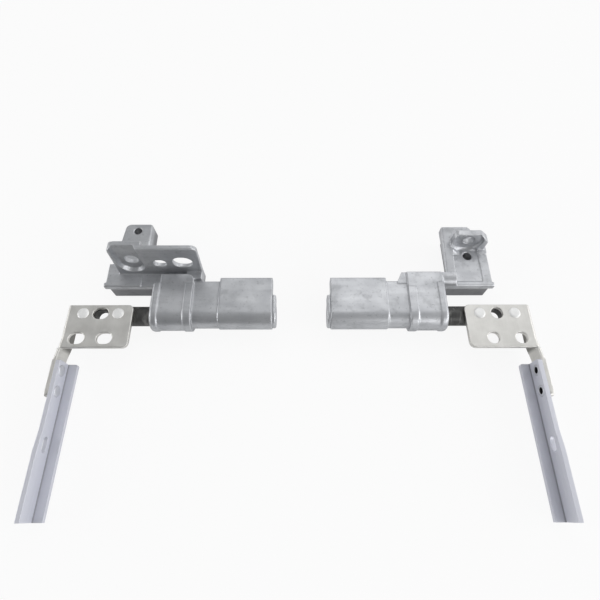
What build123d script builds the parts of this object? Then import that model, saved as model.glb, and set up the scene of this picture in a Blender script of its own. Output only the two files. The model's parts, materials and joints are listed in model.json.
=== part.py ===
from build123d import *
import os

# Laptop hinge pair, millimetres. Shapes are drawn about the hinge axis for the right-hand
# hinge: X runs outward from the middle of the pair, Y away from the lid, Z up. The left-hand
# hinge is the mirror image, with its own housing. The last step moves everything so that the
# origin lies at the bottom centre of the pair.

# Fits and clearances
running_gap = 0.03
journal_gap = 0.05
press_gap = 0.02
side_gap = 0.05

# Shaft
journal_radius = 2.45
pin_radius = 1.8
tang_thickness = 2.0
tang_lead = 1.3
tang_setback = 1.9
groove_radius = 1.35
shaft_end_play = 0.3
tip_chamfer = 0.3

# Friction clips, thrust washer and retaining ring on the shaft
clip_wall = 0.62
clip_thickness = 1.6
clip_tail = 4.2
clip_slit = 0.5
washer_thickness = 0.5
ring_thickness = 0.8
ring_radius = 2.2
ring_mouth = 1.9

# End plug
plug_stand_out = 0.95
plug_depth = 2.2
plug_socket = 1.5
plug_flange_radius = 3.0
plug_flange_tail = 4.6

# Barrel of the housing
bore_radius = journal_radius + journal_gap
barrel_end = 36.6
neck_length = 3.4
left_inner_end = 6.6
right_inner_end = 7.9
left_sleeve_end = 19.8
right_sleeve_end = 22.0
sleeve_radius = 3.3
sleeve_tail = 9.4
waist_radius = 3.05
waist_tail = 8.5
tail_underside = 0.2
tail_round = 0.5

# Strap that joins the barrel to the deck, with a raised bead at its inner edge and a rim at its outer end
strap_radius = 3.6
left_strap_start = 26.4
right_strap_start = 27.3
left_strap_rear = 10.3
right_strap_rear = 10.85
left_strap_shoulder = 35.1
strap_underside = -2.4
strap_round = 0.9
strap_corner = 1.8
rim_rise = 0.22
rim_start = 34.7
rim_edge_round = 0.15
bead_width = 1.9
left_bead_rear = 7.4
right_bead_rear = 6.5
web_inner = 24.9
web_rear_inner = 26.1
web_front = 8.2
web_top = 3.2

# Deck that is screwed to the base: a plate with a front lip on a hollow block
deck_top = 1.6
deck_bottom = -4.9
deck_front = 7.7
lip_thickness = 1.7
lip_overhang = 0.45
lip_depth = 1.2
plate_setback = 0.45
block_setback = 0.8
casting_wall = 1.3
boss_radius = 2.3
deck_edge_round = 0.35

left_lip_end = 49.9
left_deck_shelf = 14.4
left_step_end = 40.4
left_step_drop = 0.4
left_tongue_start = 39.8
left_tongue_root_end = 48.5
left_tongue_rear_end = 47.0
left_tongue_bottom = -3.4
left_deck_rear = 26.9
left_screw_x = 43.6
left_screw_y = 24.6
left_screw_radius = 1.05
tongue_inner_round = 0.8
tongue_outer_round = 1.5

right_strip_start = 37.9
right_strip_end = 40.35
right_block_start = 40.0
right_lip_end = 50.0
right_deck_rear = 24.3
right_corner_x = 45.6
right_corner_y = 21.2
right_corner_cut = 0.8
ramp_under = 1.2
ramp_front_top = 2.0
ramp_rear_top = 3.75
ramp_edge_round = 0.5
channel_end = 47.25
channel_depth = 0.25
pad_front = 17.4
pad_rise = 0.25
right_screw_x = 44.4
right_screw_y = 16.7
right_screw_radius = 1.15
step_block_start = 34.8
step_block_end = 40.1
step_block_top = 3.3
step_block_nose = 2.2

# Upright wall on the left-hand housing
wall_front = 11.4
wall_thickness = 1.1
wall_inner_top = 24.2
wall_inner_foot = 24.7
wall_outer_top = 45.5
wall_outer_foot = 46.3
wall_top = 13.4
wall_corner = 1.4
wall_foot_front = 9.3
wall_foot_end = 28.6
wall_foot_top = 2.7
wall_foot_bottom = -1.6
small_hole_x = 34.4
small_hole_z = 6.7
small_hole_length = 3.2
small_hole_height = 2.8
large_hole_x = 28.7
large_hole_z = 7.1
large_hole_length = 4.9
large_hole_height = 4.3
pocket_x = 41.85
pocket_z = 5.8
pocket_radius = 3.25
pocket_depth = 1.1
pocket_draft = 28
pocket_rim = 1.2
pocket_hole_x = 41.6
pocket_hole_z = 6.9
pocket_hole_radius = 1.7

# Upright lug on the right-hand housing, with a round seat in its front and a low cheek at its inner end
lug_inner = 40.0
lug_outer = 48.9
lug_front = 19.2
lug_thickness = 1.5
lug_top = 7.5
lug_top_setback = 2.2
lug_outer_shoulder = 5.2
lug_corner = 1.2
lug_hole_offset = 0.45
lug_hole_z = 4.9
lug_hole_radius = 1.35
seat_offset = 0.85
seat_z = 5.2
seat_radius = 4.0
seat_depth = 0.7
seat_draft = 35
cheek_length = 1.5
cheek_top = 3.2
cheek_width = 2.4

# Leaf, one folded sheet with a flange that runs on as a tab
leaf_thickness = 1.0
leaf_inner = 40.9
leaf_width = 16.4
leaf_front = -8.9
leaf_rear = 2.3
leaf_corner = 1.4
leaf_bend = 0.9
tab_jog = 0.8
tab_front = -20.4
tab_top = 1.7
tab_bottom = -3.0
tab_corner = 0.8
jog_start = -8.2
jog_end = -10.9
dip_radius = 1.2
dip_y = -10.5
leaf_hole_radius = 1.43
leaf_slot_stretch = 0.9
lower_hole_y = -6.5
lower_hole_inner_margin = 5.9
lower_hole_outer_margin = 3.8

# Rivets that fasten the tang to the leaf
tang_rivet_inner_margin = 3.6
tang_rivet_outer_margin = 4.2
tang_rivet_radius = 1.0
tang_rivet_head = 1.42
tang_rivet_rise = 0.35
tang_rivet_foot = 0.3
tang_rivet_round = 0.24

# Rail, an angle section riveted inside the tab
rail_thickness = 1.0
rail_width = 3.2
rail_bottom = -3.5
rail_top = 1.8
rail_front_rise = 0.5
rail_ramp_start = -28.0
rail_ramp_end = -32.0
rail_rear = -11.7
rail_front = -46.2
rail_corner = 0.5
rail_heel = 0.6
rail_slot_y = -30.7
rail_slot_z = -0.3
rail_slot_length = 3.4
rail_slot_height = 1.8

# Rivets that fasten the rail to the tab
rail_rivet_rear = -14.0
rail_rivet_front = -18.9
rail_rivet_z = 0.0
rail_rivet_radius = 0.95
rail_rivet_head = 1.4
rail_rivet_rise = 0.3
rail_rivet_foot = 0.25
rail_rivet_round = 0.2
rail_rivet_bore = 0.7

# Values that follow from the ones above
lip_under = deck_top - lip_thickness
leaf_under = tang_thickness / 2
leaf_top = leaf_under + leaf_thickness
leaf_outer = leaf_inner + leaf_width
tab_outer = leaf_outer + tab_jog
tang_start = leaf_inner - tang_lead
tang_end = leaf_outer - tang_setback
tang_rivet_inner = leaf_inner + tang_rivet_inner_margin
tang_rivet_outer = leaf_outer - tang_rivet_outer_margin
middle_hole_x = (tang_rivet_inner + tang_rivet_outer) / 2
lower_hole_inner = leaf_inner + lower_hole_inner_margin
lower_hole_outer = leaf_outer - lower_hole_outer_margin
rail_outer = tab_outer - leaf_thickness
rail_inner = rail_outer - rail_thickness
neck_inner = barrel_end - neck_length
lug_top_end = lug_outer - lug_top_setback
lug_middle = (lug_inner + lug_outer) / 2
lug_hole_x = lug_middle - lug_hole_offset
seat_x = lug_middle - seat_offset
cheek_end = lug_inner + cheek_width
clip_outer = pin_radius + running_gap + clip_wall
slot_tail = clip_tail + side_gap
half_span_y = (left_deck_rear + rail_front) / 2


def box(x0, x1, y0, y1, z0, z1):
    """A block between two corners."""
    centre = Pos((x0 + x1) / 2, (y0 + y1) / 2, (z0 + z1) / 2)
    return centre * Box(abs(x1 - x0), abs(y1 - y0), abs(z1 - z0))


def rod_x(radius, x0, x1, y=0.0, z=0.0):
    """A round bar along X."""
    return extrude(Plane((x0, y, z), x_dir=(0, 1, 0), z_dir=(1, 0, 0)) * Circle(radius), x1 - x0)


def rod_y(radius, x, z, y0, y1):
    """A round bar along Y."""
    return extrude(Plane((x, y0, z), x_dir=(-1, 0, 0), z_dir=(0, 1, 0)) * Circle(radius), y1 - y0)


def rod_z(radius, x, y, z0, z1):
    """A round bar along Z."""
    return extrude(Plane((x, y, z0)) * Circle(radius), z1 - z0)


def slot_z(length, width, x, y, z0, z1):
    """A bar along Z with a long round section, its length along X."""
    return extrude(Plane((x, y, z0)) * SlotOverall(length, width), z1 - z0)


def slot_y(length, height, x, z, y0, y1):
    """A bar along Y with a long round section, its length along X."""
    plane = Plane((x, y0, z), x_dir=(-1, 0, 0), z_dir=(0, 1, 0))
    return extrude(plane * SlotOverall(length, height), y1 - y0)


def across(sketch, x0, x1):
    """A section drawn in Y and Z, drawn out along X."""
    return extrude(Plane((x0, 0, 0), x_dir=(0, 1, 0), z_dir=(1, 0, 0)) * sketch, x1 - x0)


def tailed_section(radius, tail, underside):
    """A round section whose flat roof runs back to a tail."""
    roof = Pos(tail / 2, (radius + underside) / 2) * Rectangle(tail, radius - underside)
    return Circle(radius) + roof


def tailed_bar(radius, tail, underside, rounding, x0, x1):
    """A bar of tailed section with its rear edges rounded."""
    bar = across(tailed_section(radius, tail, underside), x0, x1)
    rear = bar.faces().sort_by(Axis.Y)[-1].edges().filter_by(Axis.X)
    return fillet(rear, rounding)


def cavity_section(tail, gap):
    """The bore with its slot for the tails of the friction clips, less a gap all round."""
    slot_top = bore_radius - gap
    slot_bottom = bore_radius - clip_wall - side_gap + gap
    slot = Pos((tail - gap) / 2, (slot_top + slot_bottom) / 2) * Rectangle(tail - gap, slot_top - slot_bottom)
    return Circle(bore_radius - gap) + slot


def strap(start, rear, shoulder, bead_rear, corner):
    """The wide band round the barrel, run back level to the deck, with a bead and an outer rim."""
    bead_end = start + bead_width
    crest = strap_radius + rim_rise
    band = across(tailed_section(crest, deck_front, strap_underside), start, barrel_end)
    outer_rim = band.faces().sort_by(Axis.X)[-1].edges()
    band = fillet([edge for edge in outer_rim if edge.center().Z > strap_underside], strap_round)
    groove = tailed_section(crest + rim_rise, rear, strap_underside)
    groove -= tailed_section(strap_radius, rear, strap_underside)
    band -= across(groove, bead_end, rim_start)
    brink = strap_radius + rim_rise / 2
    groove_ends = (bead_end, rim_start)
    sides = [edge for x in groove_ends for edge in band.edges() if abs(edge.center().X - x) < rim_rise]
    brinks = [edge for edge in sides if edge.geom_type == GeomType.CIRCLE and edge.radius > brink]
    brinks += [edge for edge in sides if edge.geom_type == GeomType.LINE and edge.center().Z > brink]
    band = fillet(brinks, rim_edge_round)
    band -= box(start, bead_end, bead_rear, rear, strap_radius, crest)
    tail = box(start, shoulder, 0, rear, strap_underside, strap_radius)
    tail = fillet(tail.faces().sort_by(Axis.X)[-1].edges().sort_by(Axis.Z)[-1], strap_round)
    if corner > 0:
        uprights = tail.edges().filter_by(Axis.Z)
        inner_rear = min(uprights, key=lambda edge: edge.center().X - edge.center().Y)
        tail = fillet(inner_rear, corner)
    return band + tail


def barrel(inner_end, sleeve_end, strap_start):
    """The sleeve and the slimmer waist beside the strap, both with a tail."""
    waist_end = strap_start + tail_round
    sleeve = tailed_bar(sleeve_radius, sleeve_tail, tail_underside, tail_round, inner_end, sleeve_end)
    waist = tailed_bar(waist_radius, waist_tail, tail_underside, tail_round, sleeve_end, waist_end)
    return sleeve + waist


def cut_cavity(casting, inner_end):
    """Cut the shaft's bore and the clip slot into a casting."""
    bore = rod_x(bore_radius, inner_end, barrel_end)
    slot = across(cavity_section(slot_tail, 0), inner_end, neck_inner)
    return casting - bore - slot


def upright_plate(points, corners, y0, y1):
    """A plate drawn in X and Z between two planes across Y, with some corners rounded."""
    outline = make_face(Polyline(*points, close=True))
    for (x, z), rounding in corners:
        nearest = min(outline.vertices(), key=lambda vertex: (vertex.X - x) ** 2 + (vertex.Y - z) ** 2)
        outline = fillet(nearest, rounding)
    return extrude(Plane((0, y0, 0), x_dir=(1, 0, 0), z_dir=(0, -1, 0)) * outline, y0 - y1)


def round_topped(x0, x1, y0, y1, top):
    """A plate from the lip's underside up, with its upper edges rounded."""
    plate = box(x0, x1, y0, y1, lip_under, top)
    return fillet(plate.faces().sort_by(Axis.Z)[-1].edges(), deck_edge_round)


def lipped_plate(x0, lip_end, rear):
    """The deck plate with a lip along its front that stands out a little at the end."""
    plate = round_topped(x0, lip_end - plate_setback, deck_front, rear, deck_top)
    return plate + round_topped(x0, lip_end, deck_front, deck_front + lip_depth, deck_top)


def hollow_block(x0, x1, y0, y1):
    """The block below a deck plate, cored from underneath."""
    wall = casting_wall
    block = box(x0, x1, y0, y1, deck_bottom, lip_under)
    core = box(x0 + wall, x1 - wall, y0 + wall, y1 - wall, deck_bottom, lip_under)
    return block - core


def left_pocket():
    """The round-bottomed pocket in the wall's outer end, open at the top, its sides drafted."""
    above = wall_top - pocket_z + pocket_radius
    plan = Circle(pocket_radius) + Pos(0, above / 2) * Rectangle(2 * pocket_radius, above)
    plane = Plane((pocket_x, wall_front, pocket_z), x_dir=(-1, 0, 0), z_dir=(0, 1, 0))
    return extrude(plane * plan, pocket_depth, taper=pocket_draft)


def left_wall():
    """The upright wall with its foot, two holes and a round pocket at the outer end."""
    back = wall_front + wall_thickness
    shell_back = back + pocket_depth
    rim_radius = pocket_radius + pocket_rim
    foot_corner = (wall_outer_foot, deck_top)
    top_corner = (wall_outer_top, wall_top)
    inner_top = (wall_inner_top, wall_top)
    outline = [(wall_inner_foot, deck_top), foot_corner, top_corner, inner_top]
    rounds = [(top_corner, wall_corner), (inner_top, wall_corner)]
    upright = upright_plate(outline, rounds, wall_front, back)
    shell = rod_y(rim_radius, pocket_x, pocket_z, wall_front, shell_back)
    shell += box(pocket_x - rim_radius, wall_outer_foot, wall_front, shell_back, pocket_z, wall_top)
    shell += box(pocket_x, wall_outer_foot, wall_front, shell_back, deck_top, pocket_z)
    upright += shell & upright_plate(outline, rounds, wall_front, shell_back)
    upright -= left_pocket()
    upright -= rod_y(pocket_hole_radius, pocket_hole_x, pocket_hole_z, wall_front, shell_back)
    upright -= slot_y(small_hole_length, small_hole_height, small_hole_x, small_hole_z, wall_front, back)
    upright -= slot_y(large_hole_length, large_hole_height, large_hole_x, large_hole_z, wall_front, back)
    foot = box(wall_inner_foot, wall_foot_end, wall_foot_front, back, wall_foot_bottom, wall_foot_top)
    block_end = left_lip_end - block_setback
    ledge_front = left_strap_rear - strap_corner
    web = box(wall_foot_end, block_end, wall_front, back, strap_underside, deck_top)
    ledge = box(left_strap_start, left_strap_shoulder, ledge_front, back, strap_underside, deck_top)
    return upright + foot + web + ledge


def left_tongue():
    """The narrow rear part of the left-hand deck, tapered, with round rear corners."""
    root = left_deck_shelf - casting_wall
    rear_corners = [(left_tongue_start, left_deck_rear), (left_tongue_rear_end, left_deck_rear)]
    plan = make_face(
        Polyline((left_tongue_start, root), *rear_corners, (left_tongue_root_end, root), close=True)
    )
    rear = plan.vertices().sort_by(Axis.Y)[-2:].sort_by(Axis.X)
    plan = fillet(rear[0], tongue_inner_round)
    rear_outer = plan.vertices().filter_by_position(Axis.X, left_tongue_rear_end, left_tongue_rear_end)
    plan = fillet(rear_outer, tongue_outer_round)
    tongue = extrude(Plane((0, 0, left_tongue_bottom)) * plan, deck_top - left_tongue_bottom)
    return fillet(tongue.faces().sort_by(Axis.Z)[-1].edges(), deck_edge_round)


def left_housing():
    """The left-hand casting: barrel, strap, deck with a tongue, and upright wall."""
    block_front = deck_front + lip_overhang
    block_start = left_strap_shoulder - strap_round
    deck = lipped_plate(block_start, left_lip_end, left_deck_shelf)
    step = Polyline(
        (deck_front, deck_top - left_step_drop), (deck_front, deck_top), (wall_front, deck_top), close=True
    )
    deck -= across(make_face(step), left_strap_shoulder, left_step_end)
    casting = barrel(left_inner_end, left_sleeve_end, left_strap_start)
    casting += strap(left_strap_start, left_strap_rear, left_strap_shoulder, left_bead_rear, strap_corner)
    casting += deck
    casting += hollow_block(block_start, left_lip_end - block_setback, block_front, left_deck_shelf)
    casting += left_tongue()
    casting += left_wall()
    casting -= rod_z(left_screw_radius, left_screw_x, left_screw_y, deck_bottom, deck_top)
    return cut_cavity(casting, left_inner_end)


def right_ramp():
    """The strip beside the channel and the deck behind the lug, whose top climbs to the rear."""
    climb = (ramp_rear_top - ramp_front_top) / (right_deck_rear - right_strap_rear)
    behind_lug = lug_front + lug_thickness / 2
    lug_level = ramp_front_top + climb * (behind_lug - right_strap_rear)
    front = [(right_strap_rear, ramp_under), (right_strap_rear, ramp_front_top)]
    rear = [(right_deck_rear, ramp_rear_top), (right_deck_rear, ramp_under)]
    strip = across(make_face(Polyline(*front, *rear, close=True)), right_strip_start, right_strip_end)
    inner_top = strip.faces().sort_by(Axis.X)[0].edges().sort_by(Axis.Z)[-1]
    strip = fillet(inner_top, ramp_edge_round)
    middle = [(behind_lug, ramp_under), (behind_lug, lug_level)]
    shelf = across(make_face(Polyline(*middle, *rear, close=True)), right_strip_end, right_corner_x)
    base = box(right_block_start, right_corner_x, right_corner_y, right_deck_rear, lip_under, ramp_under)
    return strip + shelf + base


def right_lug():
    """The flat-topped lug with a round drafted seat for a screw's head, and the low cheek beside it."""
    back = lug_front + lug_thickness
    inner_top = (lug_inner, lug_top)
    top_end = (lug_top_end, lug_top)
    shoulder = (lug_outer, lug_outer_shoulder)
    outline = [(lug_inner, lip_under), inner_top, top_end, shoulder, (lug_outer, lip_under)]
    rounds = [(inner_top, lug_corner), (top_end, lug_corner), (shoulder, lug_corner)]
    rim_front = lug_front - seat_depth
    lug = upright_plate(outline, rounds, rim_front, back)
    plane = Plane((seat_x, rim_front, seat_z), x_dir=(-1, 0, 0), z_dir=(0, 1, 0))
    lug -= extrude(plane * Circle(seat_radius), seat_depth, taper=seat_draft)
    floor = deck_top - channel_depth
    cheek_front = rim_front - cheek_length
    slope = Polyline((cheek_front, floor), (rim_front, cheek_top), (rim_front, floor), close=True)
    cheek = across(make_face(slope), lug_inner, cheek_end)
    cheek -= rod_y(seat_radius, seat_x, seat_z, cheek_front, rim_front)
    return lug + cheek - rod_y(lug_hole_radius, lug_hole_x, lug_hole_z, lug_front, back)


def right_housing():
    """The right-hand casting: barrel, strap, deck with a channel and a climbing strip, step block and lug."""
    block_end = right_lip_end - block_setback
    plate_end = right_lip_end - plate_setback
    block_front = deck_front + lip_overhang
    floor = deck_top - channel_depth
    deck = lipped_plate(right_block_start, right_lip_end, right_corner_y)
    deck -= box(right_strip_end, channel_end, deck_front + lip_depth, lug_front, floor, deck_top)
    deck += box(channel_end, plate_end, pad_front, lug_front, deck_top, deck_top + pad_rise)
    step = box(step_block_start, step_block_end, deck_front, right_strap_rear, lip_under, step_block_top)
    step_top = step.faces().sort_by(Axis.Z)[-1]
    step = fillet(step_top.edges().sort_by(Axis.Y)[0], step_block_nose)
    casting = barrel(right_inner_end, right_sleeve_end, right_strap_start)
    casting += strap(right_strap_start, right_strap_rear, barrel_end, right_bead_rear, 0)
    web_plan = Polyline(
        (web_inner, web_front),
        (web_rear_inner, right_strap_rear),
        (right_strap_start + tail_round, right_strap_rear),
        (right_strap_start + tail_round, web_front - tail_round),
        (web_inner, web_front - tail_round),
        close=True,
    )
    casting += extrude(Plane((0, 0, tail_underside)) * make_face(web_plan), web_top - tail_underside)
    casting += deck
    casting += right_ramp()
    casting += hollow_block(right_block_start, block_end, block_front, right_corner_y)
    rear_block_front = right_corner_y - casting_wall
    casting += hollow_block(right_block_start, right_corner_x, rear_block_front, right_deck_rear)
    casting += box(step_block_start, right_block_start, block_front, right_strap_rear, deck_bottom, lip_under)
    casting += step
    casting += rod_z(boss_radius, right_screw_x, right_screw_y, deck_bottom, lip_under)
    casting += right_lug()
    corner_plan = Polyline(
        (right_corner_x, right_deck_rear),
        (right_corner_x - right_corner_cut, right_deck_rear),
        (right_corner_x, right_deck_rear - right_corner_cut),
        close=True,
    )
    casting -= extrude(Plane((0, 0, deck_bottom)) * make_face(corner_plan), ramp_rear_top - deck_bottom)
    casting -= rod_z(right_screw_radius, right_screw_x, right_screw_y, deck_bottom, lug_top)
    return cut_cavity(casting, right_inner_end)


def plug_face(inner_end):
    """Where the end plug's inserted part ends inside the barrel."""
    return inner_end + plug_depth


def end_plug(inner_end):
    """The plug that closes the barrel, with a blind socket for the shaft's tip."""
    outline = tailed_section(plug_flange_radius, plug_flange_tail, tail_underside)
    flange = across(outline, inner_end - plug_stand_out, inner_end)
    flange = fillet(flange.faces().sort_by(Axis.X)[0].edges(), deck_edge_round)
    body = across(cavity_section(slot_tail, press_gap), inner_end, plug_face(inner_end))
    socket = rod_x(pin_radius + running_gap, plug_face(inner_end) - plug_socket, plug_face(inner_end))
    return flange + body - socket


def ring_start(inner_end):
    """Where the retaining ring begins."""
    return plug_face(inner_end) + shaft_end_play


def washer_start(inner_end):
    """Where the thrust washer begins."""
    return ring_start(inner_end) + ring_thickness + side_gap


def retaining_ring(inner_end):
    """The open ring that snaps into the shaft's groove."""
    start = ring_start(inner_end)
    ring = Circle(ring_radius) - Circle(groove_radius + press_gap)
    ring -= Pos(0, -ring_radius / 2) * Rectangle(ring_mouth, ring_radius)
    return across(ring, start, start + ring_thickness)


def thrust_washer(inner_end):
    """The washer between the retaining ring and the clips."""
    start = washer_start(inner_end)
    washer = Circle(clip_outer) - Circle(pin_radius + running_gap)
    return across(washer, start, start + washer_thickness)


def friction_clip():
    """The section of one clip: a ring open beside its tail."""
    ring = Circle(clip_outer) - Circle(pin_radius + running_gap)
    tail = Pos(clip_tail / 2, clip_outer - clip_wall / 2) * Rectangle(clip_tail, clip_wall)
    tail -= Circle(pin_radius + running_gap)
    slit_z = clip_outer - clip_wall - clip_slit / 2
    slit = Pos(clip_outer / 2 + clip_slit, slit_z) * Rectangle(clip_outer, clip_slit)
    return ring - slit + tail


def friction_clips(inner_end):
    """The stack of clips from the thrust washer to the neck."""
    start = washer_start(inner_end) + washer_thickness + side_gap
    pitch = clip_thickness + side_gap
    count = int((neck_inner - start) / pitch)
    section = friction_clip()
    return [across(section, start + i * pitch, start + i * pitch + clip_thickness) for i in range(count)]


def shaft(inner_end):
    """The turned shaft: pin, journal and a flat tang for the leaf."""
    tip = plug_face(inner_end) - plug_socket + shaft_end_play
    pin = rod_x(pin_radius, tip, neck_inner)
    pin = chamfer(pin.faces().sort_by(Axis.X)[0].edges(), tip_chamfer)
    body = pin + rod_x(journal_radius, neck_inner, tang_end)
    flat_top = box(tang_start, tang_end, -journal_radius, journal_radius, leaf_under, journal_radius)
    flat_bottom = box(tang_start, tang_end, -journal_radius, journal_radius, -journal_radius, -leaf_under)
    start = ring_start(inner_end) - press_gap
    groove_end = start + ring_thickness + 2 * press_gap
    groove = rod_x(journal_radius, start, groove_end) - rod_x(groove_radius, start, groove_end)
    body = body - flat_top - flat_bottom - groove
    body -= rod_z(leaf_hole_radius, middle_hole_x, 0, -journal_radius, journal_radius)
    for x in (tang_rivet_inner, tang_rivet_outer):
        body -= rod_z(tang_rivet_radius, x, 0, -journal_radius, journal_radius)
    return body


def leaf(slotted):
    """The leaf with its screw and rivet holes, and the flange that runs on as the rail's tab."""
    plate = box(leaf_inner, leaf_outer, leaf_front, leaf_rear, leaf_under, leaf_top)
    plate = fillet(plate.faces().sort_by(Axis.X)[0].edges().filter_by(Axis.Z), leaf_corner)
    outer_edges = plate.faces().sort_by(Axis.X)[-1].edges().filter_by(Axis.Y)
    plate = fillet(outer_edges.sort_by(Axis.Z)[-1], leaf_bend)
    flange_plan = Polyline(
        (leaf_outer, leaf_rear),
        (leaf_outer, jog_start),
        (tab_outer, jog_end),
        (tab_outer, tab_front),
        (tab_outer - leaf_thickness, tab_front),
        (tab_outer - leaf_thickness, jog_end),
        (leaf_outer - leaf_thickness, jog_start),
        (leaf_outer - leaf_thickness, leaf_rear),
        close=True,
    )
    flange = extrude(Plane((0, 0, tab_bottom)) * make_face(flange_plan), tab_top - tab_bottom)
    above_bend = box(leaf_outer - leaf_thickness, tab_outer, leaf_front, leaf_rear, leaf_under, tab_top)
    flange -= above_bend
    flange = fillet(flange.faces().sort_by(Axis.Y)[0].edges().filter_by(Axis.X), tab_corner)
    flange -= rod_x(dip_radius, leaf_outer - leaf_thickness, tab_outer, dip_y, leaf_top)
    folded = plate + flange
    hole_width = 2 * leaf_hole_radius
    slot_length = hole_width + leaf_slot_stretch
    holes = [(middle_hole_x, 0), (lower_hole_inner, lower_hole_y), (lower_hole_outer, lower_hole_y)]
    for x, y in holes:
        if slotted:
            folded -= slot_z(slot_length, hole_width, x, y, leaf_under, leaf_top)
        else:
            folded -= rod_z(leaf_hole_radius, x, y, leaf_under, leaf_top)
    for x in (tang_rivet_inner, tang_rivet_outer):
        folded -= rod_z(tang_rivet_radius, x, 0, leaf_under, leaf_top)
    for y in (rail_rivet_rear, rail_rivet_front):
        folded -= rod_x(rail_rivet_radius, rail_outer, tab_outer, y, rail_rivet_z)
    return folded


def domed_head(radius, rise, rounding):
    """A low rivet head in the XY plane, its flat side down."""
    head = Cylinder(radius, rise, align=(Align.CENTER, Align.CENTER, Align.MIN))
    return fillet(head.faces().sort_by(Axis.Z)[-1].edges(), rounding)


def tang_rivets():
    """Two rivets through the leaf and the tang."""
    shank = rod_z(tang_rivet_radius, 0, 0, -leaf_under, leaf_top)
    top = domed_head(tang_rivet_head, tang_rivet_rise, tang_rivet_round)
    foot = Rot(180, 0, 0) * domed_head(tang_rivet_head, tang_rivet_foot, tang_rivet_round)
    rivet = shank + Pos(0, 0, leaf_top) * top + Pos(0, 0, -leaf_under) * foot
    return [Pos(x, 0, 0) * rivet for x in (tang_rivet_inner, tang_rivet_outer)]


def rail():
    """The angle section with a taller front part and a slot in its upright leg."""
    upright = Polyline(
        (rail_rear, rail_bottom),
        (rail_rear, rail_top),
        (rail_ramp_start, rail_top),
        (rail_ramp_end, rail_top + rail_front_rise),
        (rail_front, rail_top + rail_front_rise),
        (rail_front, rail_bottom),
        close=True,
    )
    leg = across(make_face(upright), rail_inner, rail_outer)
    leg = fillet(leg.faces().sort_by(Axis.Y)[-1].edges().sort_by(Axis.Z)[-1], rail_corner)
    shelf_inner = rail_outer - rail_width
    shelf_top = rail_bottom + rail_thickness
    shelf = box(shelf_inner, rail_outer, rail_front, rail_rear, rail_bottom, shelf_top)
    shelf = fillet(shelf.faces().sort_by(Axis.Y)[-1].edges().sort_by(Axis.X)[0], rail_corner)
    angle = leg + shelf
    along = angle.edges().filter_by(Axis.Y)
    heel = max(along, key=lambda edge: edge.center().X - edge.center().Z)
    angle = fillet(heel, rail_heel)
    plane = Plane((rail_inner, rail_slot_y, rail_slot_z), x_dir=(0, 1, 0), z_dir=(1, 0, 0))
    angle -= extrude(plane * SlotOverall(rail_slot_length, rail_slot_height), rail_thickness)
    for y in (rail_rivet_rear, rail_rivet_front):
        angle -= rod_x(rail_rivet_radius, rail_inner, rail_outer, y, rail_rivet_z)
    return angle


def rail_rivets(tubular):
    """Two rivets through the rail and the tab, plain or tubular."""
    inward = Rot(0, -90, 0)
    outward = Rot(0, 90, 0)
    head = domed_head(rail_rivet_head, rail_rivet_rise, rail_rivet_round)
    foot = domed_head(rail_rivet_head, rail_rivet_foot, rail_rivet_round)
    rivets = []
    for y in (rail_rivet_rear, rail_rivet_front):
        rivet = rod_x(rail_rivet_radius, rail_inner, tab_outer, y, rail_rivet_z)
        rivet += Pos(rail_inner, y, rail_rivet_z) * inward * head
        rivet += Pos(tab_outer, y, rail_rivet_z) * outward * foot
        if tubular:
            rivet -= rod_x(rail_rivet_bore, rail_inner - rail_rivet_rise, rail_outer, y, rail_rivet_z)
        rivets.append(rivet)
    return rivets


def hinge(side):
    """All pieces of one hinge, drawn as the right-hand one, by name."""
    on_left = side == "left"
    inner_end = left_inner_end if on_left else right_inner_end
    return {
        "housing": left_housing() if on_left else right_housing(),
        "end_plug": end_plug(inner_end),
        "friction_clips": friction_clips(inner_end),
        "thrust_washer": thrust_washer(inner_end),
        "retaining_ring": retaining_ring(inner_end),
        "shaft": shaft(inner_end),
        "leaf": leaf(slotted=on_left),
        "tang_rivets": tang_rivets(),
        "rail": rail(),
        "rail_rivets": rail_rivets(tubular=not on_left),
    }


def main():
    """Write every piece in its place, with the origin at the bottom centre of the pair."""
    os.makedirs("parts", exist_ok=True)
    to_origin = Pos(0, -half_span_y, -deck_bottom)
    for side in ("left", "right"):
        for name, shape in hinge(side).items():
            solids = shape if isinstance(shape, list) else shape.solids()
            placed = [to_origin * solid for solid in solids]
            if side == "left":
                placed = [mirror(solid, about=Plane.YZ) for solid in placed]
            whole = placed[0] if len(placed) == 1 else Compound(children=placed)
            export_step(whole, f"parts/{side}_{name}.step")


main()
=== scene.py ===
"""Looks for a pair of laptop lid hinges: zinc castings, stamped leaves, drawn rails and peened rivets."""
import json
import math

import bmesh
import bpy
import numpy as np
from mathutils import Matrix, Vector

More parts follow.
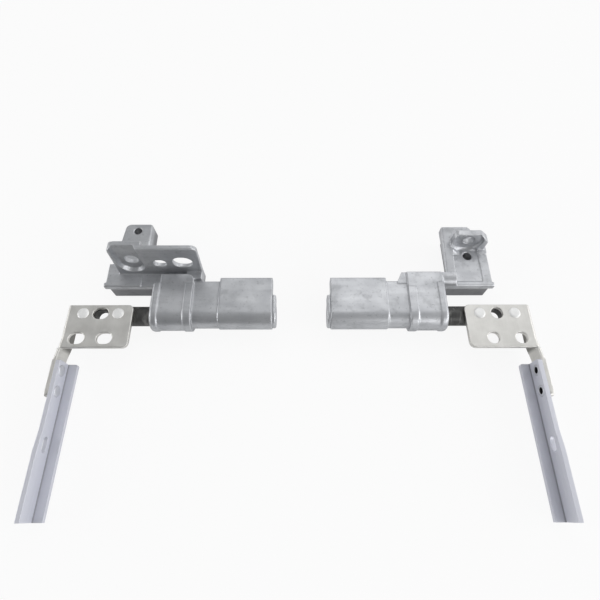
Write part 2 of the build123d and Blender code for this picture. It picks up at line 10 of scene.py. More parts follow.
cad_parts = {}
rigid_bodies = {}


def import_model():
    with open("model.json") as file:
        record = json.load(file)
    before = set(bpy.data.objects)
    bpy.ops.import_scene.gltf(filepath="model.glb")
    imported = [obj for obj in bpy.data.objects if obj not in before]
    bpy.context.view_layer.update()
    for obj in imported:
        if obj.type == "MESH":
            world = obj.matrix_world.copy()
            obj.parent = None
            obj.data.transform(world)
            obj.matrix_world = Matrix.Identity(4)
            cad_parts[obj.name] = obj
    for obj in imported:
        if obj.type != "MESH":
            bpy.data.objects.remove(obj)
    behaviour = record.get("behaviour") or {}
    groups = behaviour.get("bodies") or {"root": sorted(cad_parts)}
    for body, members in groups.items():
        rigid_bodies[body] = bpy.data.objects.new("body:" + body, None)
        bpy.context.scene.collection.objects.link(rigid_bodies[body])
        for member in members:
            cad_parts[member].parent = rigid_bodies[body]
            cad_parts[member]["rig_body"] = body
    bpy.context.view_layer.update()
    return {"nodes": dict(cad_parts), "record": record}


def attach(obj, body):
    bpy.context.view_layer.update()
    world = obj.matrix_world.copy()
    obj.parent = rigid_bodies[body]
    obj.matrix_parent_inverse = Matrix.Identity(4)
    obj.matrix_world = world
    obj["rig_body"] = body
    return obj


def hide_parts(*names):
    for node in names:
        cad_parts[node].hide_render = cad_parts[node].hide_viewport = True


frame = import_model()

MM = 0.001
SIDES = ("left", "right")
EDGE_LEAN = "edge_lean"
SHADED_BORE = "bore"

# Named inputs of a row of rivets
ROW_SIZES = {
    "Count": "NodeSocketInt",
    "First": "NodeSocketVector",
    "Step": "NodeSocketVector",
    "Turn": "NodeSocketVector",
    "Head Radius": "NodeSocketFloat",
    "Head Rise": "NodeSocketFloat",
    "Foot Rise": "NodeSocketFloat",
    "Shank Radius": "NodeSocketFloat",
    "Grip": "NodeSocketFloat",
    "Bore Radius": "NodeSocketFloat",
    "Bore Depth": "NodeSocketFloat",
    "Finish": "NodeSocketMaterial",
}

# Edge softness of each kind of piece: lengths in millimetres, angles in degrees
merge_gap = 0.001
flat_angle = 0.5
casting_grain_size = 0.15
casting_smoothing = 3
sheet_grain_size = 0.12
sheet_smoothing = 8
skin_thinning = 0.5
wear_spread = 4
turned_edge = 0.12
drawn_edge = 0.18
spring_edge = 0.05
edge_segments = 4
sharp_angle = 35

# Fold from leaf to tab, millimetres in the frame of the right-hand hinge
leaf_outer = 57.3
sheet_thickness = 1.0
tab_jog = 0.8
tab_height = 6.6
jog_rear = 1.45
jog_front = -1.25
fold_rear = 1.1
fold_front = -2.2
fold_foot = 4.4
bend_corner = 0.75
tab_corner = 0.3
fold_steps = 12
flow_rear = 3.4
flow_front = -1.9
flow_width = 2.2
flow_blend = 1.0

# Where the painted shade goes, millimetres: in the leaves' fold, under the decks' lip, along the rails'
# corner
fold_shade_front = -2.0
fold_shade_reach = 3.2
lip_height = 5.0
deck_place = 18.0
rail_wall = 1.0
shelf_reach = 2.2

# Rivets, millimetres: heads and feet, and the bore of the tubular ones
tang_head_rise = 0.35
tang_foot_rise = 0.3
tang_shank_radius = 0.98
rail_head_rise = 0.3
rail_foot_rise = 0.25
rail_shank_radius = 0.93
tube_bore_radius = 0.78
tube_head_rise = 0.14
rivets_in_row = 2
head_sides = 40
head_rings = 16
shoulder_power = 0.6
head_skirt = 0.15

# Camera, from the photograph's viewpoint
photo_width = 600
focal_pixels = 442.75
sensor_width = 36.0
camera_place = (0.387, -34.879, 106.437)
camera_pitch = 64.211
camera_yaw = 0.112
camera_roll = -0.189
camera_near = 0.005
camera_far = 10.0

# White floor, metres, and how far it shines by itself to the eye and in reflections
floor_half = 1.5
white_to_eye = 0.9
white_in_metal = 0.3

# Light of the room, and the lamps round it: name, place, width and height in metres, brightness
room_level = 0.40
room_from_right = 0.22
room_from_back = 0.22
room_low_walls = 0.25
room_darkest = 0.12
room_brightest = 1.2
LAMPS = (
    ("back", (0.12, 0.5, 0.75), 0.6, 0.5, 1.0),
    ("front fill", (0.48, -0.64, 0.32), 0.5, 0.4, 2.6),
    ("left wall", (-0.8, -0.05, 0.3), 0.7, 0.4, 2.5),
    ("right wall", (0.8, -0.05, 0.3), 0.7, 0.4, 2.5),
)


class Wire:
    """An output socket of a node tree; arithmetic on wires adds Math nodes."""

    def __init__(self, tree, socket):
        self.tree = tree
        self.socket = socket

    def worked_out(self, operation, first, second):
        """The result of one Math node."""
        node = self.tree.nodes.new("ShaderNodeMath")
        node.operation = operation
        connect(self.tree, node.inputs[0], first)
        connect(self.tree, node.inputs[1], second)
        return Wire(self.tree, node.outputs[0])

    def __add__(self, other):
        return self.worked_out("ADD", self, other)

    def __radd__(self, other):
        return self.worked_out("ADD", other, self)

    def __sub__(self, other):
        return self.worked_out("SUBTRACT", self, other)

    def __rsub__(self, other):
        return self.worked_out("SUBTRACT", other, self)

    def __mul__(self, other):
        return self.worked_out("MULTIPLY", self, other)

    def __rmul__(self, other):
        return self.worked_out("MULTIPLY", other, self)

    def __truediv__(self, other):
        return self.worked_out("DIVIDE", self, other)

    def __rtruediv__(self, other):
        return self.worked_out("DIVIDE", other, self)

    def __pow__(self, other):
        return self.worked_out("POWER", self, other)

    def __abs__(self):
        return self.worked_out("ABSOLUTE", self, None)


def connect(tree, socket, value):
    """Link a wire to a socket, or set the socket to a plain value."""
    if isinstance(value, Wire):
        tree.links.new(value.socket, socket)
    elif value is not None:
        socket.default_value = value


class Bench:
    """A node tree with one way to add a node to it."""

    def __init__(self, tree):
        self.tree = tree

    def add(self, kind, settings=None, sockets=None, output=0):
        """A node with its settings, then the values or links of its sockets."""
        node = self.tree.nodes.new(kind)
        for name, value in (settings or {}).items():
            if name == "stops":
                set_ramp(node.color_ramp, value)
            else:
                setattr(node, name, value)
        for name, value in (sockets or {}).items():
            connect(self.tree, node.inputs[name], value)
        return Wire(self.tree, node.outputs[output]) if node.outputs else node

    def split(self, vector):
        """The three parts of a vector."""
        node = self.tree.nodes.new("ShaderNodeSeparateXYZ")
        connect(self.tree, node.inputs[0], vector)
        return [Wire(self.tree, output) for output in node.outputs]


def set_ramp(ramp, stops):
    """Give a colour ramp its stops, each a place and a grey level."""
    while len(ramp.elements) < len(stops):
        ramp.elements.new(1.0)
    for element, (place, level) in zip(ramp.elements, stops):
        element.position = place
        element.color = (level, level, level, 1.0)


class Finish(Bench):
    """A material with a Principled surface and patterns in millimetres of the piece's own coordinates."""

    def __init__(self, name):
        self.material = bpy.data.materials.new(name)
        self.material.use_nodes = True
        super().__init__(self.material.node_tree)
        self.surface = self.tree.nodes["Principled BSDF"]
        self.place = self.add("ShaderNodeTexCoord", output="Object")

    def set(self, **values):
        """Set or link the surface's sockets, named with underscores for spaces."""
        for name, value in values.items():
            connect(self.tree, self.surface.inputs[name.replace("_", " ")], value)

    def axes(self):
        """The piece's own coordinates in millimetres, one wire for each axis."""
        return self.split(self.stretched(1, 1, 1))

    def stretched(self, x, y, z):
        """Coordinates in millimetres, each axis multiplied."""
        scale = (x / MM, y / MM, z / MM)
        return self.add("ShaderNodeMapping", {"vector_type": "POINT"}, {"Vector": self.place, "Scale": scale})

    def noise(self, per_mm, detail=2.0, stretch=(1, 1, 1), roughness=0.5):
        """Noise with so many waves in a millimetre."""
        return self.add(
            "ShaderNodeTexNoise",
            {"noise_dimensions": "3D"},
            {"Vector": self.stretched(*stretch), "Scale": per_mm, "Detail": detail, "Roughness": roughness},
            "Fac",
        )

    def ramp(self, value, *stops):
        """A grey level for each value, blended between stops."""
        return self.add("ShaderNodeValToRGB", {"stops": stops}, {"Fac": value})

    def mark(self, name):
        """A value noted on the piece's points."""
        return self.add("ShaderNodeAttribute", {"attribute_name": name}, output="Fac")

    def tint(self, share, first, second):
        """A colour between two, by share."""
        node = {"data_type": "RGBA", "blend_type": "MIX", "clamp_factor": True}
        return self.add("ShaderNodeMix", node, {0: share, 6: first, 7: second}, 2)

    def relief(self, height, depth_mm):
        """A bumped normal, its depth in millimetres."""
        bump = {"Strength": 1.0, "Distance": depth_mm * MM, "Height": height}
        return self.add("ShaderNodeBump", {}, bump)


def reach_of(node):
    """Lowest and highest corner of a CAD piece."""
    points = [vertex.co for vertex in frame["nodes"][node].data.vertices]
    low = Vector([min(point[axis] for point in points) for axis in range(3)])
    high = Vector([max(point[axis] for point in points) for axis in range(3)])
    return low, high


def rgb(red, green, blue):
    """An opaque colour."""
    return (red, green, blue, 1.0)


def die_cast_zinc():
    """Satin zinc: cast grain, flow marks and smudges, edge wear with painted highlights on the edges, dust
    with painted shade in inner corners, painted shade on the low faces under the lip, and the right-hand
    piece painted lighter as if lit from the right.
    """
    finish = Finish("die-cast zinc")
    clouds = finish.noise(0.16, detail=4.0)
    flow = finish.noise(0.5, detail=3.0, stretch=(0.16, 1.0, 1.0))
    grain = finish.noise(5.0, detail=3.0)
    smudges = finish.ramp(finish.noise(0.4, detail=5.0, roughness=0.65), (0.5, 0.0), (0.66, 1.0))
    specks = finish.ramp(finish.noise(1.6, detail=2.0), (0.64, 0.0), (0.72, 1.0))
    lean = finish.mark(EDGE_LEAN)
    # Edge wear and painted highlights: convex edges are tinted lighter
    worn_and_highlit_edge = finish.ramp(lean, (0.04, 0.0), (0.16, 1.0))
    # Dust and painted shade: inner corners are tinted darker
    dust_and_corner_shade = finish.ramp(lean * -1.0, (0.04, 0.0), (0.16, 1.0))
    cloudy = finish.ramp(clouds * 0.6 + flow * 0.4, (0.38, 0.0), (0.62, 1.0))
    across, back, up = finish.axes()
    # Painted light: the right-hand piece is tinted lighter, as if lit more from the right
    painted_right_light = finish.ramp(across, (0.0, 0.0), (1.0, 1.0))
    # Painted shade on the low faces under the decks' lip
    shade_under_lip = finish.ramp(up / lip_height, (0.7, 1.0), (1.0, 0.0))
    behind_barrel = finish.ramp(back / deck_place, (0.93, 0.0), (0.98, 1.0))
    dull = finish.tint(cloudy, rgb(0.48, 0.49, 0.51), rgb(0.62, 0.63, 0.65))
    dull = finish.tint(painted_right_light * 0.2, dull, rgb(0.82, 0.83, 0.86))
    dull = finish.tint(smudges * 0.3, dull, rgb(0.36, 0.37, 0.38))
    dull = finish.tint(specks * 0.4, dull, rgb(0.32, 0.33, 0.34))
    dull = finish.tint(dust_and_corner_shade * 0.5, dull, rgb(0.24, 0.24, 0.25))
    dull = finish.tint(shade_under_lip * behind_barrel * 0.75, dull, rgb(0.2, 0.2, 0.21))
    finish.set(
        Base_Color=finish.tint(worn_and_highlit_edge * 0.5, dull, rgb(0.84, 0.85, 0.86)),
        Metallic=0.9,
        Roughness=0.43 - cloudy * 0.08 + grain * 0.08 + smudges * 0.08 - worn_and_highlit_edge * 0.06,
        Normal=finish.relief(grain * 0.5 + flow * 0.5, 0.015),
    )
    return finish.material


def nickel_steel():
    """Satin nickel plate on sheet: fine grain, rolling lines, painted shade on the cut edges and painted
    shade inside the fold.
    """
    finish = Finish("satin nickel plate")
    grain = finish.noise(7.0, detail=2.0)
    rolling = finish.noise(3.0, detail=3.0, stretch=(1.0, 0.05, 1.0))
    clouds = finish.ramp(finish.noise(0.3, detail=4.0), (0.35, 0.0), (0.65, 1.0))
    # Painted shade on the cut edges and hole walls, tinted darker
    shaded_cut_edge = finish.ramp(finish.mark(EDGE_LEAN), (0.07, 0.0), (0.2, 1.0))
    across, back, up = finish.axes()
    _, high = reach_of("right_leaf")
    # Painted shade inside the fold under the leaf, darker towards the rear
    in_fold = finish.ramp(leaf_outer - abs(across), (0.5, 0.0), (0.7, 1.0))
    below = finish.ramp(high.z / MM - sheet_thickness - up, (0.05, 0.0), (0.3, 1.0))
    behind = finish.ramp((back - fold_shade_front) / fold_shade_reach, (0.0, 0.0), (1.0, 1.0))
    plate = finish.tint(clouds * 0.6 + rolling * 0.4, rgb(0.69, 0.68, 0.65), rgb(0.83, 0.82, 0.79))
    plate = finish.tint(shaded_cut_edge * 0.5, plate, rgb(0.4, 0.39, 0.37))
    finish.set(
        Base_Color=finish.tint(in_fold * below * behind * 0.8, plate, rgb(0.17, 0.165, 0.155)),
        Metallic=1.0,
        Roughness=0.36 + grain * 0.1 + clouds * 0.05,
        Normal=finish.relief(grain * 0.5 + rolling * 0.5, 0.006),
    )
    return finish.material


def black_steel():
    """Blackened, oiled steel with turning lines and rubbed scuffs."""
    finish = Finish("blackened steel")
    turning = finish.noise(4.0, detail=3.0, stretch=(1.0, 0.02, 0.02))
    scuff = finish.ramp(finish.noise(0.9, detail=4.0, stretch=(1.0, 0.4, 0.4)), (0.5, 0.0), (0.7, 1.0))
    finish.set(
        Base_Color=finish.tint(scuff * 0.7 + turning * 0.2, rgb(0.055, 0.055, 0.054), rgb(0.27, 0.268, 0.26)),
        Metallic=0.5,
        Roughness=0.34 + turning * 0.12 + scuff * 0.1,
        Normal=finish.relief(turning, 0.01),
    )
    return finish.material


def bright_steel():
    """Bright peened rivet heads, faintly dimpled by the tool."""
    finish = Finish("bright peened steel")
    dimples = finish.noise(1.6, detail=2.0)
    finish.set(
        Base_Color=finish.tint(dimples, rgb(0.94, 0.94, 0.93), rgb(0.98, 0.98, 0.97)),
        Metallic=0.3,
        Roughness=0.36 + dimples * 0.1,
        Normal=finish.relief(dimples, 0.02),
    )
    return finish.material


def aluminium_angle():
    """Bare drawn aluminium, bluish and matt, with draw lines, a few scratches and painted shade along the
    inner corner.
    """
    finish = Finish("drawn aluminium")
    lines = finish.noise(6.0, detail=3.0, stretch=(1.0, 0.012, 1.0))
    broad = finish.noise(0.9, detail=2.0, stretch=(1.0, 0.03, 1.0))
    scratch = finish.ramp(finish.noise(2.2, detail=2.0, stretch=(1.0, 0.1, 1.0)), (0.66, 0.0), (0.7, 1.0))
    across, _, up = finish.axes()
    low, high = reach_of("right_rail")
    corner_x = high.x / MM - rail_wall
    corner_z = low.z / MM + rail_wall
    off_x = abs(across) - corner_x
    off_z = up - corner_z
    near = (off_x * off_x + off_z * off_z) ** 0.5
    # Painted shade on the shelf next to the inner corner
    corner_shade = finish.ramp(near / shelf_reach, (0.03, 1.0), (0.14, 0.5), (1.0, 0.12))
    on_shelf = finish.ramp(off_z, (0.15, 1.0), (0.4, 0.0))
    worn = finish.tint(lines * 0.5 + broad * 0.5, rgb(0.68, 0.69, 0.75), rgb(0.80, 0.81, 0.88))
    worn = finish.tint(scratch * 0.3, worn, rgb(0.9, 0.9, 0.94))
    finish.set(
        Base_Color=finish.tint(corner_shade * on_shelf * 0.7, worn, rgb(0.2, 0.2, 0.22)),
        Metallic=0.6,
        Roughness=0.4 + lines * 0.14,
        Normal=finish.relief(lines * 0.7 + broad * 0.3, 0.01),
    )
    return finish.material


def rivet_steel():
    """Plain grey rivet, faintly dimpled by the riveting tool, the bore of a tubular one painted near black as
    shade.
    """
    finish = Finish("plain rivet steel")
    dimples = finish.noise(1.8, detail=3.0)
    # Painted shade: the bore of a tubular rivet is tinted near black
    bore = finish.mark(SHADED_BORE)
    head = finish.tint(dimples, rgb(0.58, 0.59, 0.63), rgb(0.70, 0.71, 0.76))
    finish.set(
        Base_Color=finish.tint(bore, head, rgb(0.012, 0.012, 0.014)),
        Metallic=0.8 - bore * 0.5,
        Roughness=0.42 + dimples * 0.14,
        Normal=finish.relief(dimples, 0.015),
    )
    return finish.material


def spring_steel():
    """Hard spring steel, oiled and slightly blued."""
    finish = Finish("spring steel")
    clouds = finish.noise(0.8, detail=3.0)
    finish.set(
        Base_Color=finish.tint(clouds, rgb(0.36, 0.37, 0.40), rgb(0.50, 0.51, 0.54)),
        Metallic=1.0,
        Roughness=0.28 + clouds * 0.12,
        Normal=finish.relief(clouds, 0.004),
    )
    return finish.material


def closed_copy(name):
    """A copy of a CAD piece with its loose triangles joined into a closed skin of whole flat faces."""
    mesh = bpy.data.meshes.new(name + "_skin")
    skin = bmesh.new()
    skin.from_mesh(frame["nodes"][name].data)
    bmesh.ops.remove_doubles(skin, verts=skin.verts, dist=merge_gap * MM)
    bmesh.ops.dissolve_limit(skin, angle_limit=math.radians(flat_angle), verts=skin.verts, edges=skin.edges)
    skin.to_mesh(mesh)
    skin.free()
    custom = mesh.attributes.get("custom_normal")
    if custom:
        mesh.attributes.remove(custom)
    piece = bpy.data.objects.new(name + "_skin", mesh)
    bpy.context.scene.collection.objects.link(piece)
    return piece


def settle(piece, material):
    """Apply a piece's modifiers and give it one material."""
    bpy.context.view_layer.update()
    shaped = bpy.data.meshes.new_from_object(piece.evaluated_get(bpy.context.evaluated_depsgraph_get()))
    piece.modifiers.clear()
    piece.data = shaped
    shaped.materials.clear()
    shaped.materials.append(material)
    for face in shaped.polygons:
        face.material_index = 0
    return piece


def stand_in(piece, node):
    """The piece is shown in place of a CAD piece and moves with its body."""
    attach(piece, frame["nodes"][node]["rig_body"])
    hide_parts(node)


def vectors_of(items, name):
    """A vector of each item of a mesh, one row each."""
    flat = np.empty(len(items) * 3)
    items.foreach_get(name, flat)
    return flat.reshape(-1, 3)


def mark_edges(mesh):
    """Note on each point how far it stands out from its neighbours: edges above zero, inner corners below."""
    points = vectors_of(mesh.vertices, "co")
    normals = vectors_of(mesh.vertex_normals, "vector")
    ends = np.empty(len(mesh.edges) * 2, dtype=np.int64)
    mesh.edges.foreach_get("vertices", ends)
    one, two = ends.reshape(-1, 2).T
    gap = points[one] - points[two]
    gap /= np.linalg.norm(gap, axis=1, keepdims=True) + 1e-12
    count = len(points)
    neighbours = np.bincount(one, minlength=count) + np.bincount(two, minlength=count)
    lean = np.bincount(one, (gap * normals[one]).sum(1), count)
    lean -= np.bincount(two, (gap * normals[two]).sum(1), count)
    lean /= neighbours
    for _ in range(wear_spread):
        around = np.bincount(one, lean[two], count) + np.bincount(two, lean[one], count)
        lean = 0.5 * lean + 0.5 * around / neighbours
    mesh.attributes.new(EDGE_LEAN, "FLOAT", "POINT").data.foreach_set("value", lean.astype(np.float32))


def straight_jog(place):
    """Share of the jog from leaf to tab that is reached at a place along the flange."""
    return np.clip((jog_rear - place) / (jog_rear - jog_front), 0.0, 1.0)


def curved(share):
    """A share from 0 to 1 that starts and ends gently."""
    return share * share * (3 - 2 * share)


def fill_fold(piece, mirror):
    """Fill the notch between leaf and tab, so that the flange's top runs down in one curve."""
    _, high = reach_of("right_leaf")
    leaf_top = high.z / MM
    skin = bmesh.new()
    skin.from_mesh(piece.data)
    rings = []
    for step in range(fold_steps + 1):
        share = step / fold_steps
        place = fold_rear + (fold_front - fold_rear) * share
        height = leaf_top + (tab_height - leaf_top) * curved(share)
        outer = leaf_outer + tab_jog * straight_jog(place)
        corner = bend_corner + (tab_corner - bend_corner) * share
        section = (
            (outer - sheet_thickness, fold_foot),
            (outer, fold_foot),
            (outer, height - corner),
            (outer - corner, height),
            (outer - sheet_thickness, height),
        )
        rings.append([skin.verts.new((mirror * x * MM, place * MM, z * MM)) for x, z in section])
    walls = [skin.faces.new(rings[0]), skin.faces.new(rings[-1])]
    for near, far in zip(rings, rings[1:]):
        for index in range(len(near)):
            walls.append(skin.faces.new((near[index - 1], near[index], far[index], far[index - 1])))
    bmesh.ops.recalc_face_normals(skin, faces=walls)
    skin.to_mesh(piece.data)
    skin.free()


def flow_fold(mesh, mirror):
    """Turn the straight jog from leaf to tab into one long curve."""
    points = vectors_of(mesh.vertices, "co")
    along = points[:, 1] / MM
    across = np.abs(points[:, 0]) / MM
    share = np.clip((flow_rear - along) / (flow_rear - flow_front), 0.0, 1.0)
    near_edge = np.clip((across - leaf_outer + flow_width) / flow_blend, 0.0, 1.0)
    move = tab_jog * (curved(share) - straight_jog(along)) * near_edge
    points[:, 0] += mirror * move * MM
    mesh.vertices.foreach_set("co", points.ravel())
    mesh.update()


def smooth_skin(piece, material, grain_size, smoothing):
    """A piece with every edge softened, as metal leaves a die or a press."""
    remesh = piece.modifiers.new("even skin", "REMESH")
    remesh.mode = "VOXEL"
    remesh.voxel_size = grain_size * MM
    smooth = piece.modifiers.new("soft edges", "SMOOTH")
    smooth.iterations = smoothing
    settle(piece, material)
    mark_edges(piece.data)
    thin = piece.modifiers.new("fewer faces", "DECIMATE")
    thin.ratio = skin_thinning
    settle(piece, material)
    piece.data.shade_smooth()


def eased(node, width, material):
    """A turned or drawn piece with its sharp edges eased."""
    piece = closed_copy(node)
    piece.data.shade_smooth()
    bevel = piece.modifiers.new("eased edges", "BEVEL")
    bevel.width = width * MM
    bevel.segments = edge_segments
    bevel.limit_method = "ANGLE"
    bevel.angle_limit = math.radians(sharp_angle)
    bevel.harden_normals = True
    return settle(piece, material)


class RivetTree(Bench):
    """A Geometry Nodes tree that sets a row of rivets, head up, from named sizes."""

    def __init__(self, name):
        super().__init__(bpy.data.node_groups.new(name, "GeometryNodeTree"))
        self.identifiers = {}
        self.tree.interface.new_socket("Geometry", in_out="OUTPUT", socket_type="NodeSocketGeometry")
        for label, kind in ROW_SIZES.items():
            socket = self.tree.interface.new_socket(label, in_out="INPUT", socket_type=kind)
            self.identifiers[label] = socket.identifier
        self.given = self.tree.nodes.new("NodeGroupInput")

    def size(self, label):
        """One of the tree's named inputs."""
        return Wire(self.tree, self.given.outputs[label])

    def up(self, height):
        """A vector of this height."""
        return self.add("ShaderNodeCombineXYZ", {}, {"Z": height})

    def moved(self, mesh, height, turn=(0, 0, 0)):
        """A mesh lifted along the rivet and turned."""
        lift = {"Geometry": mesh, "Translation": self.up(height), "Rotation": turn}
        return self.add("GeometryNodeTransform", {}, lift)

    def joined(self, *meshes):
        """Meshes in one."""
        node = self.tree.nodes.new("GeometryNodeJoinGeometry")
        for mesh in meshes:
            connect(self.tree, node.inputs[0], mesh)
        return Wire(self.tree, node.outputs[0])

    def dome(self, radius, rise):
        """A low head with a flat crown and a round shoulder, its skirt sunk a little into the sheet."""
        stalk = self.add("GeometryNodeCurvePrimitiveLine", {}, {"Start": (0, 0, 0), "End": self.up(rise)})
        stalk = self.add("GeometryNodeResampleCurve", {}, {"Curve": stalk, "Count": head_rings})
        angle = self.add("GeometryNodeSplineParameter", output="Factor") * (math.pi / 2)
        level = self.add("ShaderNodeMath", {"operation": "SINE"}, {0: angle}) ** shoulder_power
        reach = self.add("ShaderNodeMath", {"operation": "COSINE"}, {0: angle}) ** shoulder_power
        stalk = self.add("GeometryNodeSetCurveRadius", {}, {"Curve": stalk, "Radius": radius * reach})
        height = (rise + head_skirt * MM) * level - head_skirt * MM
        stalk = self.add("GeometryNodeSetPosition", {}, {"Geometry": stalk, "Position": self.up(height)})
        ring = self.add("GeometryNodeCurvePrimitiveCircle", {}, {"Resolution": head_sides, "Radius": 1.0})
        width = self.add("GeometryNodeInputRadius")
        sweep = {"Curve": stalk, "Profile Curve": ring, "Scale": width, "Fill Caps": True}
        return self.add("GeometryNodeCurveToMesh", {}, sweep)

    def bar(self, radius, length):
        """A round bar that hangs down from the rivet's head."""
        sizes = {"Vertices": head_sides, "Radius": radius, "Depth": length}
        return self.moved(self.add("GeometryNodeMeshCylinder", {}, sizes), length * -0.5)

    def turned_ring(self, radius, section):
        """A section drawn in width and height, swept round the rivet's axis."""
        path = self.add("GeometryNodeCurvePrimitiveCircle", {}, {"Resolution": head_sides, "Radius": radius})
        path = self.add("GeometryNodeSetCurveNormal", {"mode": "Z_UP"}, {"Curve": path})
        return self.add("GeometryNodeCurveToMesh", {}, {"Curve": path, "Profile Curve": section})

    def finish_row(self, rivet):
        """Set the rivet in a row and give it its material."""
        row = {"Count": self.size("Count"), "Start Location": self.size("First"), "Offset": self.size("Step")}
        places = self.add("GeometryNodeMeshLine", {"mode": "OFFSET"}, row)
        turn = self.add("FunctionNodeEulerToRotation", {}, {"Euler": self.size("Turn")})
        placed = {"Points": places, "Instance": rivet, "Rotation": turn}
        row = self.add("GeometryNodeInstanceOnPoints", {}, placed)
        row = self.add("GeometryNodeRealizeInstances", {}, {"Geometry": row})
        row = self.add("GeometryNodeSetShadeSmooth", {}, {"Geometry": row, "Shade Smooth": True})
        row = self.add("GeometryNodeSetMaterial", {}, {"Geometry": row, "Material": self.size("Finish")})
        self.add("NodeGroupOutput", {}, {"Geometry": row})
        return self

    def foot(self):
        """The peened end under the sheets."""
        end = self.dome(self.size("Head Radius"), self.size("Foot Rise"))
        return self.moved(end, self.size("Grip") * -1.0, (math.pi, 0, 0))


def solid_rivet_tree():
    """Solid rivets: a domed head, a shank and a lower foot."""
    tree = RivetTree("solid rivets")
    head = tree.dome(tree.size("Head Radius"), tree.size("Head Rise"))
    shank = tree.bar(tree.size("Shank Radius"), tree.size("Grip"))
    return tree.finish_row(tree.joined(head, shank, tree.foot()))


def tubular_rivet_tree():
    """Tubular rivets: a rolled head round an open bore, a shank closed at the bottom, and a foot."""
    tree = RivetTree("tubular rivets")
    head_radius = tree.size("Head Radius")
    bore = tree.size("Bore Radius")
    shank = tree.size("Shank Radius")
    depth = tree.size("Bore Depth")
    roll = tree.add("GeometryNodeCurvePrimitiveCircle", {}, {"Resolution": head_rings, "Radius": 1.0})
    half = {"X": (head_radius - bore) * 0.5, "Y": tree.size("Head Rise"), "Z": 1.0}
    half = tree.add("ShaderNodeCombineXYZ", {}, half)
    roll = tree.add("GeometryNodeTransform", {}, {"Geometry": roll, "Scale": half})
    head = tree.turned_ring((head_radius + bore) * 0.5, roll)
    wall = tree.add("GeometryNodeCurvePrimitiveQuadrilateral", {}, {"Width": shank - bore, "Height": depth})
    tube = tree.moved(tree.turned_ring((shank + bore) * 0.5, wall), depth * -0.5)
    closed = tree.moved(tree.bar(shank, tree.size("Grip") - depth), depth * -1.0)
    # The bore's points are marked for painted shade in the material
    inside = {"Geometry": tree.joined(tube, closed), "Name": SHADED_BORE, "Value": 1.0}
    inside = tree.add("GeometryNodeStoreNamedAttribute", {"data_type": "FLOAT", "domain": "POINT"}, inside)
    return tree.finish_row(tree.joined(head, inside, tree.foot()))


def rivet_row(node, tree, sizes, material):
    """A row of rivets as one plain mesh, from a tree and its sizes."""
    mesh = bpy.data.meshes.new(node + "_row")
    piece = bpy.data.objects.new(node + "_row", mesh)
    bpy.context.scene.collection.objects.link(piece)
    setter = piece.modifiers.new("row of rivets", "NODES")
    setter.node_group = tree.tree
    for label, value in sizes.items():
        setter[tree.identifiers[label]] = value
    setter[tree.identifiers["Finish"]] = material
    return settle(piece, material)


def tang_row(side, tree, material):
    """The rivets through leaf and tang, heads up."""
    node = f"{side}_tang_rivets"
    low, high = reach_of(node)
    radius = (high.y - low.y) / 2
    head_base = high.z - tang_head_rise * MM
    sizes = {
        "Count": rivets_in_row,
        "First": (low.x + radius, low.y + radius, head_base),
        "Step": (high.x - low.x - 2 * radius, 0.0, 0.0),
        "Turn": (0.0, 0.0, 0.0),
        "Head Radius": radius,
        "Head Rise": tang_head_rise * MM,
        "Foot Rise": tang_foot_rise * MM,
        "Shank Radius": tang_shank_radius * MM,
        "Grip": head_base - low.z - tang_foot_rise * MM,
    }
    stand_in(rivet_row(node, tree, sizes, material), node)


def rail_row(side, tree, material):
    """The rivets through rail and tab, heads towards the middle of the pair."""
    node = f"{side}_rail_rivets"
    low, high = reach_of(node)
    radius = (high.z - low.z) / 2
    on_left = side == "left"
    head_base = high.x - rail_head_rise * MM if on_left else low.x + rail_head_rise * MM
    head_rise = rail_head_rise if on_left else tube_head_rise
    sizes = {
        "Count": rivets_in_row,
        "First": (head_base, low.y + radius, low.z + radius),
        "Step": (0.0, high.y - low.y - 2 * radius, 0.0),
        "Turn": (0.0, math.pi / 2 if on_left else -math.pi / 2, 0.0),
        "Head Radius": radius,
        "Head Rise": head_rise * MM,
        "Foot Rise": rail_foot_rise * MM,
        "Shank Radius": rail_shank_radius * MM,
        "Grip": high.x - low.x - (rail_head_rise + rail_foot_rise) * MM,
        "Bore Radius": tube_bore_radius * MM,
        "Bore Depth": rail_wall * MM,
    }
    stand_in(rivet_row(node, tree, sizes, material), node)


def build_camera():
    """The camera at the photograph's viewpoint."""
    data = bpy.data.cameras.new("photograph view")
    data.sensor_width = sensor_width
    data.lens = focal_pixels / photo_width * sensor_width
    data.clip_start = camera_near
    data.clip_end = camera_far
    camera = bpy.data.objects.new("photograph view", data)
    bpy.context.scene.collection.objects.link(camera)
    turn = (
        Matrix.Rotation(math.radians(camera_yaw), 4, "Z")
        @ Matrix.Rotation(math.radians(90 - camera_pitch), 4, "X")
        @ Matrix.Rotation(math.radians(camera_roll), 4, "Z")
    )
    camera.matrix_world = Matrix.Translation(Vector(camera_place) * MM) @ turn
    bpy.context.scene.camera = camera


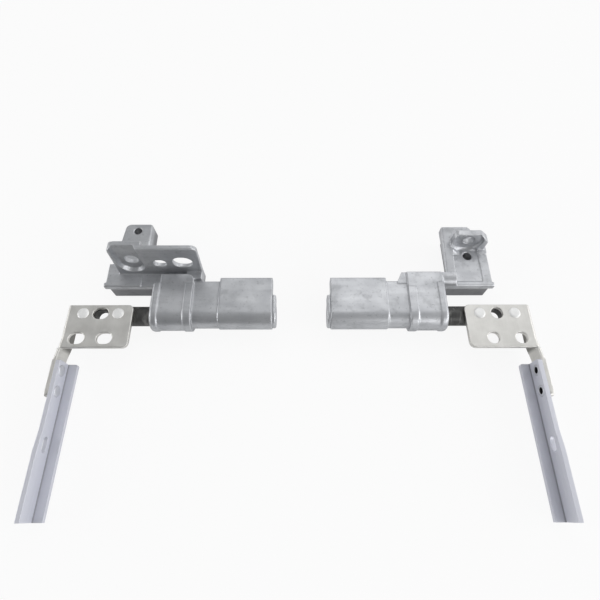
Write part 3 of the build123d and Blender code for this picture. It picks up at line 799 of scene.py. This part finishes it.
def build_floor():
    """A white floor that shows white to the camera and in reflections, and still takes a shadow."""
    mesh = bpy.data.meshes.new("floor")
    corners = [(x * floor_half, y * floor_half, 0) for x, y in ((-1, -1), (1, -1), (1, 1), (-1, 1))]
    mesh.from_pydata(corners, [], [(0, 1, 2, 3)])
    floor = bpy.data.objects.new("floor", mesh)
    bpy.context.scene.collection.objects.link(floor)
    paper = Finish("white paper")
    paper.set(Base_Color=rgb(0.85, 0.85, 0.85), Roughness=0.9, Specular_IOR_Level=0.1)
    seen = paper.add("ShaderNodeLightPath", output="Is Camera Ray")
    mirrored = paper.add("ShaderNodeLightPath", output="Is Glossy Ray")
    through = paper.add("ShaderNodeLightPath", output="Is Transmission Ray")
    white = paper.add("ShaderNodeEmission", {}, {"Color": rgb(1.0, 1.0, 1.0), "Strength": 1.0})
    lit = Wire(paper.tree, paper.surface.outputs["BSDF"])
    share = seen * white_to_eye + mirrored * white_in_metal + through * white_to_eye
    both = paper.add("ShaderNodeMixShader", {}, {0: share, 1: lit, 2: white})
    connect(paper.tree, paper.tree.nodes["Material Output"].inputs["Surface"], both)
    mesh.materials.append(paper.material)


def softbox(name, place, width, height, radiance):
    """A square lamp that faces the middle of the pair, unseen by the camera."""
    data = bpy.data.lights.new(name, "AREA")
    data.shape = "RECTANGLE"
    data.size = width
    data.size_y = height
    data.energy = radiance * math.pi * width * height
    lamp = bpy.data.objects.new(name, data)
    bpy.context.scene.collection.objects.link(lamp)
    lamp.location = place
    lamp.rotation_euler = (-Vector(place)).to_track_quat("-Z", "Y").to_euler()
    lamp.visible_camera = False


def build_light():
    """Soft light from above, stronger from the right and behind, with bright walls low at both sides."""
    world = bpy.data.worlds.new("studio")
    world.use_nodes = True
    bpy.context.scene.world = world
    room = Bench(world.node_tree)
    across, back, _ = room.split(room.add("ShaderNodeTexCoord", output="Generated"))
    low_walls = across * across * across * across
    tone = room_level + across * room_from_right + back * room_from_back + low_walls * room_low_walls
    level = room.add("ShaderNodeClamp", {}, {"Value": tone, "Min": room_darkest, "Max": room_brightest})
    sky = world.node_tree.nodes["Background"]
    connect(room.tree, sky.inputs["Strength"], level)
    connect(room.tree, sky.inputs["Color"], rgb(0.98, 0.99, 1.0))
    for lamp in LAMPS:
        softbox(*lamp)


def build_pieces():
    """Dress every piece of both hinges."""
    finishes = {
        "die_cast_zinc": die_cast_zinc(),
        "nickel_steel": nickel_steel(),
        "black_steel": black_steel(),
        "bright_steel": bright_steel(),
        "aluminium_angle": aluminium_angle(),
        "rivet_steel": rivet_steel(),
        "spring_steel": spring_steel(),
    }
    for entry in frame["record"]["subparts"]:
        mesh = frame["nodes"][entry["node"]].data
        mesh.materials[0] = finishes[entry["material_slot"]]
    solid = solid_rivet_tree()
    tubular = tubular_rivet_tree()
    for side in SIDES:
        for name in ("housing", "end_plug"):
            casting = closed_copy(f"{side}_{name}")
            smooth_skin(casting, finishes["die_cast_zinc"], casting_grain_size, casting_smoothing)
            stand_in(casting, f"{side}_{name}")
        mirror = -1 if side == "left" else 1
        leaf = closed_copy(f"{side}_leaf")
        fill_fold(leaf, mirror)
        smooth_skin(leaf, finishes["nickel_steel"], sheet_grain_size, sheet_smoothing)
        flow_fold(leaf.data, mirror)
        stand_in(leaf, f"{side}_leaf")
        for name, slot, width in (
            ("shaft", "black_steel", turned_edge),
            ("thrust_washer", "spring_steel", spring_edge),
            ("retaining_ring", "spring_steel", spring_edge),
            ("rail", "aluminium_angle", drawn_edge),
        ):
            stand_in(eased(f"{side}_{name}", width, finishes[slot]), f"{side}_{name}")
        tang_row(side, solid, finishes["bright_steel"])
        rail_row(side, solid if side == "left" else tubular, finishes["rivet_steel"])


bpy.context.scene.view_settings.view_transform = "Standard"
build_pieces()
build_camera()
build_floor()
build_light()
